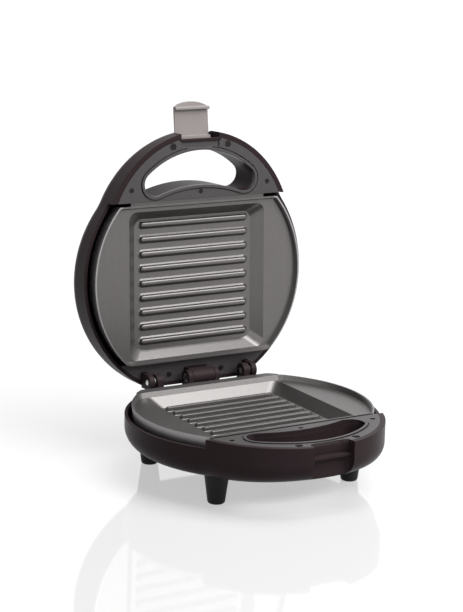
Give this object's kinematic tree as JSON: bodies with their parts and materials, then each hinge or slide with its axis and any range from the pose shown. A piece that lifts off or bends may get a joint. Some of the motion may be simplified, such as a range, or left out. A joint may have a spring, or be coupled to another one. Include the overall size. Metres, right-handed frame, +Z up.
{
  "type": "sandwich maker",
  "caption": "Countertop sandwich maker with a hinged lid standing open, round ribbed grill plates, looped handles and a swing latch",
  "frame": {"origin": "on the table plane, in the middle of the object's bounding box with the lid open", "axes": "+X to the right as seen from the front, +Y towards the hinge at the back, +Z up; the lid stands open at rest"},
  "size_m": [0.1966, 0.2372, 0.2758],
  "materials": {
    "shell_plastic": "dark moulded phenolic plastic with a fine satin grain",
    "insert_plastic": "dark grey moulded plastic, satin",
    "coated_aluminium": "cast aluminium with a dark grey non-stick coating, soft sheen",
    "latch_plastic": "warm grey moulded plastic, satin",
    "foot_rubber": "black rubber",
    "bush_rubber": "black rubber",
    "plated_steel": "zinc-plated steel",
    "black_steel": "blackened steel screws",
    "heater_steel": "sheathed heating tube, dull steel",
    "bright_sheet": "thin bright aluminium sheet",
    "ceramic": "off-white ceramic",
    "red_lens": "clear red lens",
    "green_lens": "clear green lens",
    "lamp_glass": "small neon lamps in clear glass"
  },
  "bodies": {
    "base": {"base_shell": "shell_plastic", "base_handle_insert": "insert_plastic", "base_insert_screws": "black_steel", "lower_grill_plate": "coated_aluminium", "lower_heater": "heater_steel", "lower_reflector": "bright_sheet", "lower_thermostat": "ceramic", "thermal_fuse": "ceramic", "terminal_block": "ceramic", "cord_bush": "bush_rubber", "base_rear_cover": "insert_plastic", "base_cover_screws": "black_steel", "hinge_pin_left": "plated_steel", "hinge_pin_right": "plated_steel", "hinge_conduit": "plated_steel", "foot_front_left": "foot_rubber", "foot_front_right": "foot_rubber", "foot_rear_left": "foot_rubber", "foot_rear_right": "foot_rubber", "foot_screws": "black_steel"},
    "lid": {"lid_shell": "shell_plastic", "lid_handle_insert": "insert_plastic", "lid_insert_screws": "black_steel", "upper_grill_plate": "coated_aluminium", "upper_heater": "heater_steel", "upper_reflector": "bright_sheet", "upper_thermostat": "ceramic", "lid_rear_cover": "insert_plastic", "lid_cover_screws": "black_steel", "power_lens": "red_lens", "ready_lens": "green_lens", "indicator_lamps": "lamp_glass", "latch_pin": "plated_steel"},
    "latch": {"latch": "latch_plastic"}
  },
  "joints": [
    {"name": "lid_hinge", "type": "hinge", "parent": "base", "child": "lid", "pos_m": [0, 0.07637, 0.0579], "axis": [1, 0, 0], "range_deg": [0, 92]},
    {"name": "latch_pivot", "type": "hinge", "parent": "lid", "child": "latch", "pos_m": [0, 0.09291, 0.24494], "axis": [1, 0, 0], "range_deg": [0, 95]}
  ]
}
